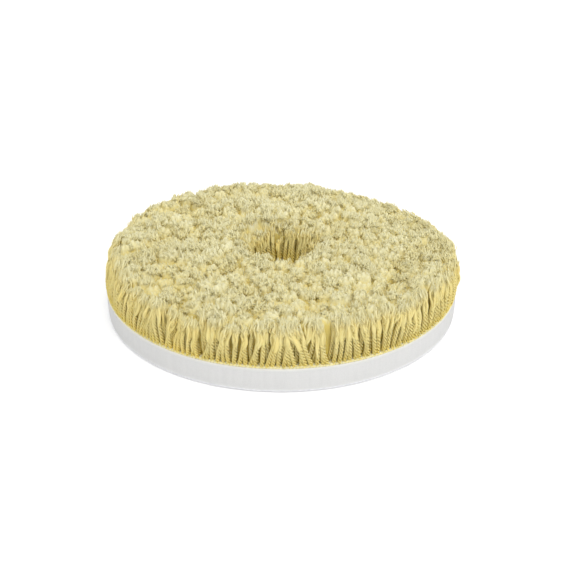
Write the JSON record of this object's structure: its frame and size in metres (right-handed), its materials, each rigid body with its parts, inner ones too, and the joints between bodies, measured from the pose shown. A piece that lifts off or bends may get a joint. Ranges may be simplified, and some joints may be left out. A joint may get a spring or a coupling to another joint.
{
  "type": "polishing pad",
  "caption": "Round hook-and-loop polishing pad: tufted twisted-wool pile on a base cloth, foam cushion and loop cloth, with a centring hole.",
  "frame": {"origin": "centre of the loop cloth's underside, on the pad's axis, where the pad stands", "axes": "+Z along the pad's axis, from the loop cloth towards the wool; X and Y lie in the mounting face and are equal"},
  "size_m": [0.1524, 0.1524, 0.0302],
  "materials": {
    "twisted_wool": "cut pile of twisted natural-yellow wool yarn, fluffed tips",
    "base_cloth": "plain-weave tufting cloth",
    "lock_coat": "dried latex, satin",
    "bond_film": "hot-melt web, satin",
    "white_foam": "die-cut open-cell foam, matt",
    "loop_cloth": "brushed knitted loops"
  },
  "bodies": {
    "root": {"loop_cloth": "loop_cloth", "loop_bond_film": "bond_film", "foam_cushion": "white_foam", "pile_bond_film": "bond_film", "latex_lock_coat": "lock_coat", "tufting_base_cloth": "base_cloth", "tuft_row_01": "twisted_wool", "tuft_row_02": "twisted_wool", "tuft_row_03": "twisted_wool", "tuft_row_04": "twisted_wool", "tuft_row_05": "twisted_wool", "tuft_row_06": "twisted_wool", "tuft_row_07": "twisted_wool", "tuft_row_08": "twisted_wool", "tuft_row_09": "twisted_wool", "tuft_row_10": "twisted_wool", "tuft_row_11": "twisted_wool", "tuft_row_12": "twisted_wool", "tuft_row_13": "twisted_wool"}
  },
  "joints": []
}
